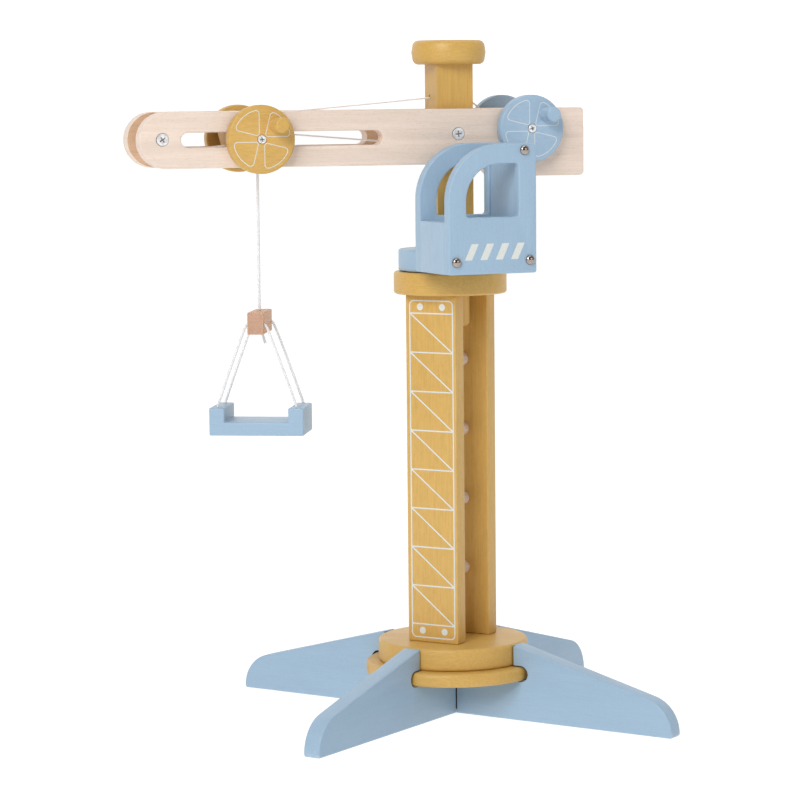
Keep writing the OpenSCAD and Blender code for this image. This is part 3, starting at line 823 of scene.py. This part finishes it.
def make_peg(node, body, slot):
    """A crank peg with a rounded end."""
    low, high = box_in(node, ON_JIB)
    radius = (high.x - low.x) / 2
    length = high.y - low.y
    edge = 1.6 * MM
    rounding = arc((radius - edge, length - edge), edge, 0, 90, 10)
    profile = [(0, 0), (radius, 0), *rounding, (0, length)]
    place = ON_JIB @ Matrix.Translation(((low.x + high.x) / 2, high.y, (low.z + high.z) / 2))
    piece = turned(node + "_turned", profile, place @ FLIP_UP, 64)
    stand_for(piece, node, body, slot)


def make_winches():
    for wheel in ("winch_wheel_near", "winch_wheel_far"):
        make_wheel(wheel, WINCH_AT, "trolley_winch", "blue_paint")
    for wheel in ("hoist_wheel_near", "hoist_wheel_far"):
        make_wheel(wheel, HOIST_AT, "hoist_winch", "mustard_paint")
    make_peg("winch_peg", "trolley_winch", "blue_paint")
    make_peg("hoist_peg", "hoist_winch", "mustard_paint")


def bar_cut(middle, normal):
    """The spreader bar's end grain, which is darker."""
    return abs(normal.y) > 0.9


def make_load():
    low, high = box_in("tray", ON_LOAD)
    floor, wall, soft = 9.4 * MM, 10.8 * MM, 1.0 * MM
    outline = rounded([
        (low.x, low.z, soft), (high.x, low.z, soft), (high.x, high.z, soft),
        (high.x - wall, high.z, soft), (high.x - wall, low.z + floor, 0.4 * MM),
        (low.x + wall, low.z + floor, 0.4 * MM), (low.x + wall, high.z, soft),
        (low.x, high.z, soft),
    ])
    piece = board("tray_board", outline, high.y - low.y, flat_place(ON_LOAD, 0), 0.9 * MM)
    stand_for(piece, "tray", "load", "blue_paint")
    low, high = box_in("spreader_bar", ON_LOAD)
    piece = block("spreader_bar_block", low, high, ON_LOAD, 0.8 * MM)
    stand_for(piece, "spreader_bar", "load", "bar_wood")
    mark_second_faces(piece, ON_LOAD, bar_cut)


make_legs()
make_discs()
make_turntable()
make_panels()
make_knob()
make_rails()
make_cab()
make_nails()
make_winches()
make_screws()
make_load()

# -------------------- prints

# Thickness of the ink, which lies half sunk in its face
INK = 0.12 * MM


def make_lattice():
    """The printed lattice on the front panel: a frame with eight braced bays."""
    low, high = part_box("mast_panel_front")
    line, inset, bays = 1.0, 2.5, 8
    outer_r, inner_r, dot_r, dot_x, dot_z = 4, 2.7, 2.5, 9, 4.6
    left, right = low.x / MM + inset, high.x / MM - inset
    bottom, top = low.z / MM + 3, high.z / MM - 3.5
    first, last = bottom + 10, top - 9.5
    corners = ((left, bottom), (right, bottom), (right, top), (left, top))
    outer = rounded([(x, z, outer_r) for x, z in corners])
    a, b = left + line, right - line
    holes = [
        rounded([(a, bottom + line, inner_r), (b, bottom + line, inner_r),
                 (b, first - line / 2, 0), (a, first - line / 2, 0)]),
        rounded([(a, last + line / 2, 0), (b, last + line / 2, 0),
                 (b, top - line, inner_r), (a, top - line, inner_r)]),
    ]
    pitch = (last - first) / bays
    mid_l, mid_r = left + line / 2, right - line / 2
    for i in range(bays):
        z0, z1 = first + i * pitch, first + (i + 1) * pitch
        holes.append(inset_triangle([(mid_l, z1), (mid_l, z0), (mid_r, z0)], line / 2))
        holes.append(inset_triangle([(mid_l, z1), (mid_r, z0), (mid_r, z1)], line / 2))
    place = flat_place(Matrix.Translation((0.6 * MM, 0, 0)), low.y)
    piece = board("print_lattice", mm_outline(outer), INK, place, INK * 0.1,
                  [mm_outline(h) for h in holes], True)
    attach(piece, "base")
    dots_at = [(x, z) for z in (first - dot_z, last + dot_z) for x in (-dot_x, dot_x)]
    for i, at in enumerate(dots_at):
        dot = board(f"print_dot_{i + 1}", mm_outline(arc(at, dot_r, 0, 350, 10)), INK,
                    place, INK * 0.1, (), True)
        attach(dot, "base")


def inset_triangle(corners, inset):
    """A triangle with each side moved inwards."""
    p = [Vector(c) for c in corners]
    sides = [(p[1] - p[2]).length, (p[2] - p[0]).length, (p[0] - p[1]).length]
    around = sum(sides)
    middle = sum((q * s for q, s in zip(p, sides)), Vector((0, 0))) / around
    area = abs((p[1] - p[0]).cross(p[2] - p[0])) / 2
    share = 1 - inset / (2 * area / around)
    return [tuple(middle + (q - middle) * share) for q in p]


def sector_outline(inset):
    """One sector of a handwheel's print, with its edges moved inwards. In millimetres."""
    outer, offset = 20.6 - inset, 1.6 + inset
    side = Vector((math.cos(math.radians(75.7)), math.sin(math.radians(75.7))))
    start = Vector((1.9, 1.6)) + Vector((side.y, -side.x)) * inset
    reach = -start.dot(side) + math.sqrt(start.dot(side) ** 2 + outer ** 2 - start.length_squared)
    far = start + side * reach
    low = Vector((math.sqrt(outer ** 2 - offset ** 2), offset))
    near = start + side * ((offset - start.y) / side.y)
    a0, a1 = math.degrees(math.atan2(low.y, low.x)), math.degrees(math.atan2(far.y, far.x))
    corners = [(near.x, near.y, 2.0 - inset), (low.x, low.y, 2.6 - inset)]
    corners += [(x, y, 0) for x, y in arc((0, 0), outer, a0 + 10, a1 - 10, 6)]
    corners += [(far.x, far.y, 2.6 - inset)]
    return rounded(corners)


def make_wheel_prints(node, at, body):
    low, high = box_in(node, ON_JIB)
    near = (low.y + high.y) / 2 < 0
    face = low.y if near else high.y
    for k in range(4):
        turn = Matrix.Rotation(math.radians(90 * k), 4, "Z")
        place = flat_place(ON_JIB @ Matrix.Translation((at.x, 0, at.z)), face) @ turn
        piece = board(f"print_{node}_{k + 1}", mm_outline(sector_outline(0)), INK, place,
                      INK * 0.1, [mm_outline(sector_outline(0.52))], True)
        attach(piece, body)


def make_stripes():
    face = box_in("cab_panel_near", IN_CAB)[0].y
    bottom, top, width, lean, first, pitch = 333.4, 344.6, 5.4, 5.2, 11.9, 11.67
    for i in range(4):
        x = first + i * pitch
        outline = rounded([
            (x, bottom, 0.3), (x + width, bottom, 0.3), (x + width + lean, top, 0.3),
            (x + lean, top, 0.3),
        ])
        piece = board(f"print_stripe_{i + 1}", mm_outline(outline), INK,
                      flat_place(IN_CAB, face), INK * 0.1, (), True)
        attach(piece, "jib")


make_lattice()
for wheel, at, body in (("winch", WINCH_AT, "trolley_winch"), ("hoist", HOIST_AT, "hoist_winch")):
    for side in ("near", "far"):
        make_wheel_prints(f"{wheel}_wheel_{side}", at, body)
make_stripes()

# -------------------- wood grain


def set_grain(piece, along, place=Matrix.Identity(4), offset=0.0):
    """Gives a piece its wood's own coordinates: X along the grain, in its place's frame."""
    along = Vector(along).normalized()
    across = along.orthogonal().normalized()
    turn = Matrix((along, across, along.cross(across))).to_4x4() @ place.inverted()
    mesh = piece.data
    grain = mesh.attributes.new("grain", "FLOAT_VECTOR", "POINT")
    shift = Vector((offset, offset * 0.7, offset * 1.3))
    values = [c for v in mesh.vertices for c in turn @ v.co + shift]
    grain.data.foreach_set("vector", values)


def shown_pieces():
    """Every shown mesh, with the CAD node it is or stands for."""
    for piece in list(bpy.data.objects):
        if piece.type == "MESH" and not piece.hide_render and not piece.get("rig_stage"):
            nodes = list(piece.get("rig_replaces", [])) or [piece.name]
            yield piece, nodes[0]


GRAIN_ALONG = {
    "leg": (1, 0, 0), "mast": (0, 0, 1), "rail": (1, 0, 0), "post": (0, 0, 1),
    "cab": (0, 0, 1), "rung": (0, 1, 0), "tray": (1, 0, 0), "spreader": (0, 1, 0),
    "trolley": (1, 0, 0), "tip": (0, 1, 0),
}


def grain_along(node):
    if node in ("winch_axle", "hoist_axle", "winch_peg", "hoist_peg"):
        return (0, 1, 0)
    for start, along in GRAIN_ALONG.items():
        if node.startswith(start):
            return along
    return (1, 0.15, 0)


def grain_place(node, body):
    if node in LEG_NODES:
        return leg_turn(node)
    if node.startswith("cab_"):
        return IN_CAB
    return {"base": Matrix.Identity(4), "load": ON_LOAD}.get(body, ON_JIB)


# -------------------- materials


RANGE_SOCKETS = ("From Min", "From Max", "To Min", "To Max")


class Shader:
    """A material's node tree, with short calls to add and join nodes."""

    def __init__(self, name):
        self.material = bpy.data.materials.new(name)
        self.material.use_nodes = True
        self.nodes = self.material.node_tree.nodes
        self.links = self.material.node_tree.links
        self.surface = self.nodes["Principled BSDF"]

    def put(self, socket, value):
        if isinstance(value, bpy.types.NodeSocket):
            self.links.new(value, socket)
        else:
            socket.default_value = value

    def node(self, kind, settings=None, **inputs):
        made = self.nodes.new("ShaderNode" + kind)
        for name, value in (settings or {}).items():
            setattr(made, name, value)
        for name, value in inputs.items():
            self.put(made.inputs[name.replace("_", " ")], value)
        return made

    def grain(self, scale, shift=0.0):
        """The wood's own coordinates, stretched."""
        where = self.node("Attribute", {"attribute_name": "grain"})
        mapping = self.node("Mapping", Vector=where.outputs["Vector"], Scale=scale)
        mapping.inputs["Location"].default_value = (shift, shift, shift)
        return mapping.outputs["Vector"]

    def noise(self, where, scale=1.0, detail=3.0, roughness=0.5, distortion=0.0):
        made = self.node("TexNoise", Vector=where, Scale=scale, Detail=detail,
                         Roughness=roughness, Distortion=distortion)
        return made.outputs["Fac"]

    def ramp(self, value, low, high, first=0.0, last=1.0):
        made = self.node("MapRange", {"interpolation_type": "SMOOTHSTEP"}, Value=value)
        for name, number in zip(RANGE_SOCKETS, (low, high, first, last)):
            made.inputs[name].default_value = number
        return made.outputs["Result"]

    def mix(self, share, first, second, kind="MIX"):
        made = self.node("Mix", {"data_type": "RGBA", "blend_type": kind})
        self.put(made.inputs["Factor"], share)
        self.put(made.inputs[6], first)
        self.put(made.inputs[7], second)
        return made.outputs[2]

    def math(self, operation, first, second):
        made = self.node("Math", {"operation": operation})
        self.put(made.inputs[0], first)
        self.put(made.inputs[1], second)
        return made.outputs["Value"]

    def bump(self, height, distance, strength=1.0, normal=None):
        made = self.node("Bump", Height=height, Distance=distance, Strength=strength)
        if normal is not None:
            self.put(made.inputs["Normal"], normal)
        return made.outputs["Normal"]

    def set(self, **inputs):
        for name, value in inputs.items():
            self.put(self.surface.inputs[name.replace("_", " ")], value)


def shade(colour, factor):
    return (*(min(1.0, c * factor) for c in colour[:3]), 1)


def srgb(red, green, blue):
    """A colour on a screen's scale of 0 to 255, as a linear one."""
    return (*(
        c / 12.92 if c <= 0.04045 else ((c + 0.055) / 1.055) ** 2.4
        for c in (v / 255 for v in (red, green, blue))
    ), 1)


def painted_wood(name, colour, edge_wear_and_highlight, depth):
    """Satin paint over beech: faint grain, soft mottling, and lighter along the edges, partly from rubbed
    paint and partly as a painted highlight.
    """
    s = Shader(name)
    streaks = s.noise(s.grain((45, 900, 900)), detail=4, roughness=0.6)
    flecks = s.ramp(s.noise(s.grain((420, 3600, 3600), 3.0), detail=2), 0.60, 0.72)
    mottle = s.noise(s.grain((22, 60, 60), 7.0), detail=3, roughness=0.55)
    dark, pale = shade(colour, 1 - depth), shade(colour, 1 + depth * 0.6)
    tone = s.mix(s.ramp(streaks, 0.3, 0.7), dark, pale)
    tone = s.mix(s.ramp(mottle, 0.35, 0.68, 0.0, 0.30), tone, shade(colour, 0.93))
    tone = s.mix(s.math("MULTIPLY", flecks, 0.16), tone, shade(colour, 0.72))
    stipple = s.noise(s.grain((900, 900, 900), 17.0), detail=2, roughness=0.6)
    tone = s.mix(s.ramp(stipple, 0.45, 0.7, 0.0, 0.5), tone, shade(colour, 1.08))
    # Lighter edges, broken up by noise: partly rubbed paint, partly a painted highlight on the rounded edges
    wear_and_highlight_breakup = s.noise(s.grain((160, 260, 260), 11.0), detail=4, roughness=0.65)
    edge = s.ramp(s.node("NewGeometry").outputs["Pointiness"], 0.515, 0.60)
    edge = s.math("MULTIPLY", edge, s.ramp(wear_and_highlight_breakup, 0.35, 0.65, 0.15, 0.65))
    tone = s.mix(edge, tone, edge_wear_and_highlight)
    rough = s.math("ADD", s.ramp(mottle, 0.3, 0.7, 0.0, 0.10), 0.40)
    relief = s.bump(streaks, 0.00022, 0.35)
    relief = s.bump(flecks, 0.00008, 0.5, relief)
    s.set(Base_Color=tone, Roughness=rough, Normal=relief, Coat_Weight=0.12, Coat_Roughness=0.28)
    s.surface.inputs["Specular IOR Level"].default_value = 0.42
    return s


def bare_wood(name, colour, dark, fleck):
    """Sanded beech or maple: broad bands, fine streaks and short darker ray flecks."""
    s = Shader(name)
    bands = s.noise(s.grain((7, 120, 120), 2.0), detail=3, roughness=0.5, distortion=0.6)
    streaks = s.noise(s.grain((38, 1300, 1300)), detail=4, roughness=0.62)
    rays = s.ramp(s.noise(s.grain((330, 3000, 3000), 5.0), detail=2), 0.585, 0.70)
    tone = s.mix(s.ramp(bands, 0.32, 0.68), shade(colour, 1.02), shade(colour, 0.93))
    tone = s.mix(s.ramp(streaks, 0.42, 0.72, 0.0, 0.42), tone, dark)
    tone = s.mix(s.math("MULTIPLY", rays, 0.38), tone, fleck)
    rough = s.math("ADD", s.ramp(streaks, 0.3, 0.7, 0.0, 0.12), 0.46)
    relief = s.bump(streaks, 0.00025, 0.35)
    relief = s.bump(rays, 0.0001, 0.4, relief)
    s.set(Base_Color=tone, Roughness=rough, Normal=relief)
    s.surface.inputs["Specular IOR Level"].default_value = 0.35
    return s


def metal(name, colour, roughness, scratch, metallic):
    """Plated steel, with fine turning marks and a little tarnish."""
    s = Shader(name)
    where = s.node("TexCoord").outputs["Object"]
    marks = s.noise(where, scale=2600, detail=3, roughness=0.7)
    stain = s.noise(where, scale=420, detail=3)
    tone = s.mix(s.ramp(stain, 0.35, 0.7), colour, shade(colour, 0.78))
    rough = s.math("ADD", s.ramp(marks, 0.3, 0.7, 0.0, scratch), roughness)
    s.set(Base_Color=tone, Metallic=metallic, Roughness=rough, Normal=s.bump(marks, 0.00003, 0.4))
    return s


def cotton(name, colour):
    """Braided cotton, soft and matt."""
    s = Shader(name)
    where = s.node("TexCoord").outputs["Object"]
    fibre = s.noise(where, scale=3200, detail=3, roughness=0.7)
    tone = s.mix(s.ramp(fibre, 0.3, 0.7), shade(colour, 0.94), colour)
    s.set(Base_Color=tone, Roughness=0.9, Normal=s.bump(fibre, 0.00002, 0.25),
          Subsurface_Weight=0.75, Subsurface_Radius=(0.003, 0.003, 0.003), Subsurface_Scale=1.0)
    s.surface.inputs["Specular IOR Level"].default_value = 0.15
    return s


def ink(name, colour):
    """Screen-printed ink, thin and a little uneven."""
    s = Shader(name)
    where = s.node("TexCoord").outputs["Object"]
    thin = s.noise(where, scale=900, detail=3, roughness=0.6)
    tone = s.mix(s.ramp(thin, 0.35, 0.7), colour, shade(colour, 0.93))
    s.set(Base_Color=tone, Roughness=0.55, Normal=s.bump(thin, 0.00002, 0.4))
    s.surface.inputs["Specular IOR Level"].default_value = 0.3
    return s


MUSTARD = srgb(203, 162, 84)
BLUE = srgb(152, 178, 200)
# Bare woods: their own colour, their darker streaks and their flecks
BARE_WOODS = {
    "natural_wood": ((229, 211, 197), (214, 190, 168), (192, 162, 136)),
    "inner_wood": ((206, 168, 118), (182, 142, 96), (150, 112, 72)),
    "bar_wood": ((214, 172, 140), (190, 146, 112), (160, 118, 88)),
    # A darker tan for the rails' inner faces: painted shade between the rails
    "cut_wood": ((205, 172, 142), (184, 148, 118), (150, 116, 88)),
    "bar_end": ((191, 152, 128), (170, 130, 106), (140, 104, 84)),
    # Charred saw cuts, made near-black as painted shade in the legs' slots and grooves
    "scorched": ((34, 28, 24), (24, 19, 16), (14, 12, 10)),
}
MATERIALS = {
    # Each paint's second colour is its lighter edge tone: partly rubbed paint, partly a painted highlight
    "mustard_paint": painted_wood("mustard_paint", MUSTARD, srgb(236, 200, 140), 0.11),
    "unworn_mustard": painted_wood("unworn_mustard", MUSTARD, MUSTARD, 0.11),
    "blue_paint": painted_wood("blue_paint", BLUE, srgb(196, 212, 226), 0.035),
    "zinc_screw": metal("zinc_screw", srgb(244, 244, 246), 0.30, 0.12, 0.5),
    "dark_nail": metal("dark_nail", srgb(172, 162, 156), 0.13, 0.03, 1.0),
    "cord": cotton("cord", srgb(219, 219, 220)),
    # A lighter copy of the cord's cotton for the thin pull cords: painted light against their shade between
    # the rails
    "fine_cord": cotton("fine_cord", srgb(250, 251, 255)),
    "cream_ink": ink("cream_ink", srgb(214, 217, 212)),
}
for wood, tones in BARE_WOODS.items():
    MATERIALS[wood] = bare_wood(wood, *(srgb(*tone) for tone in tones))
SLOT_OF = {p["node"]: p["material_slot"] for p in frame["record"]["subparts"]}


def soften(piece, width):
    """Rounds a CAD node's edges with modifiers. Its own mesh stays as it is."""
    if "custom_normal" in piece.data.attributes:
        piece.data.attributes.remove(piece.data.attributes["custom_normal"])
    for polygon in piece.data.polygons:
        polygon.use_smooth = True
    weld = piece.modifiers.new("weld", "WELD")
    weld.merge_threshold = 1e-5
    flat = piece.modifiers.new("flat", "DECIMATE")
    flat.decimate_type = "DISSOLVE"
    flat.angle_limit = math.radians(0.5)
    bevel = piece.modifiers.new("bevel", "BEVEL")
    bevel.width = width
    bevel.segments = 3
    bevel.limit_method = "ANGLE"
    bevel.angle_limit = math.radians(40)
    bevel.harden_normals = True
    bevel.use_clamp_overlap = True


# Rounding of the CAD nodes that stay in view, in millimetres, where it isn't SMALL_EDGE
SOFT_EDGE, SMALL_EDGE = {"post": 1.6, "trolley_block": 0.7}, 0.3
# The second material of a board's marked faces, by the first word of its node's name: charred cuts made
# near-black partly as painted shade on the legs, painted shade on the rails' inner faces, end grain on the
# spreader bar
SECOND_FACE_LOOK = {"leg": "scorched", "rail": "cut_wood", "spreader": "bar_end"}
# The material of pieces that look different from the rest of their slot: the pull cords get a lighter
# cotton, painted light against the shade they get between the rails, and the post gets mustard without the
# lighter edges
OWN_LOOK = {"pull": "fine_cord", "post": "unworn_mustard"}


def dress():
    """Gives every shown piece its wood grain and its material."""
    for i, (piece, node) in enumerate(shown_pieces()):
        slot = piece.get("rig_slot", SLOT_OF.get(node))
        if piece.name.startswith("print_"):
            slot = "cream_ink"
        if slot not in MATERIALS:
            raise ValueError(f"{piece.name} has no material slot")
        body = body_of(piece)[0]
        set_grain(piece, grain_along(node), grain_place(node, body), 0.031 * i)
        zones = [face.material_index for face in piece.data.polygons]
        kind = node.split("_")[0]
        piece.data.materials.clear()
        piece.data.materials.append(MATERIALS[OWN_LOOK.get(kind, slot)].material)
        cut = SECOND_FACE_LOOK.get(kind)
        if cut and any(zones):
            piece.data.materials.append(MATERIALS[cut].material)
            piece.data.polygons.foreach_set("material_index", zones)
        if node == piece.name:
            soften(piece, SOFT_EDGE.get(node, SMALL_EDGE) * MM)


dress()

# -------------------- floor and light


def make_floor():
    """A white studio floor that glows a little, so that shadows on it stay faint."""
    made = bmesh.new()
    bmesh.ops.create_grid(made, x_segments=1, y_segments=1, size=30)
    mesh = bpy.data.meshes.new("floor")
    made.to_mesh(mesh)
    made.free()
    floor = add("floor", mesh)
    s = Shader("floor")
    where = s.node("TexCoord").outputs["Object"]
    pale = s.mix(s.noise(where, scale=3), (0.24, 0.24, 0.24, 1), (0.26, 0.26, 0.26, 1))
    s.set(Base_Color=pale, Roughness=0.95, Emission_Color=(1, 1, 1, 1), Emission_Strength=0.9)
    s.surface.inputs["Specular IOR Level"].default_value = 0.0
    mesh.materials.append(s.material)
    floor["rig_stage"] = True


def make_world(behind, front):
    """A white dome, bright behind the crane and dimmer on the camera's side."""
    world = bpy.data.worlds.new("studio")
    world.use_nodes = True
    nodes, links = world.node_tree.nodes, world.node_tree.links
    where = nodes.new("ShaderNodeTexCoord")
    facing = nodes.new("ShaderNodeVectorMath")
    facing.operation = "DOT_PRODUCT"
    facing.inputs[1].default_value = (math.cos(CAMERA_HEADING), math.sin(CAMERA_HEADING), 0)
    strength = nodes.new("ShaderNodeMapRange")
    for name, value in zip(RANGE_SOCKETS, (-0.35, 0.75, front, behind)):
        strength.inputs[name].default_value = value
    back = nodes["Background"]
    back.inputs["Color"].default_value = (1, 1, 1, 1)
    links.new(where.outputs["Generated"], facing.inputs[0])
    links.new(facing.outputs["Value"], strength.inputs["Value"])
    links.new(strength.outputs["Result"], back.inputs["Strength"])
    bpy.context.scene.world = world


def make_light(name, place, aim, size, power):
    """A round soft light: its diameter in metres and its power in watts."""
    data = bpy.data.lights.new(name, "AREA")
    data.shape = "DISK"
    data.size = size
    data.energy = power
    light = bpy.data.objects.new(name, data)
    light.location = place
    light.rotation_euler = (Vector(aim) - Vector(place)).to_track_quat("-Z", "Y").to_euler()
    bpy.context.scene.collection.objects.link(light)


def from_camera(right, toward, up):
    """A place given from the object's middle: to the camera's right, toward it, and up."""
    away = Vector((math.cos(CAMERA_HEADING), math.sin(CAMERA_HEADING), 0))
    side = Vector((away.y, -away.x, 0))
    return side * right - away * toward + Vector((0, 0, up))


make_floor()
make_world(1.15, 0.05)
MIDDLE = (0, 0, 0.25)
make_light("key", from_camera(-2.0, 4.2, 2.9), MIDDLE, 3.0, 165)
make_light("fill", from_camera(2.2, 1.9, 1.2), MIDDLE, 1.6, 9)
make_light("top", from_camera(0.2, 0.6, 3.2), MIDDLE, 2.4, 22)
make_light("spark", from_camera(-0.6, 3.0, 1.8), MIDDLE, 0.22, 8)
bpy.context.scene.view_settings.view_transform = "Standard"

# -------------------- last update

bpy.context.view_layer.update()
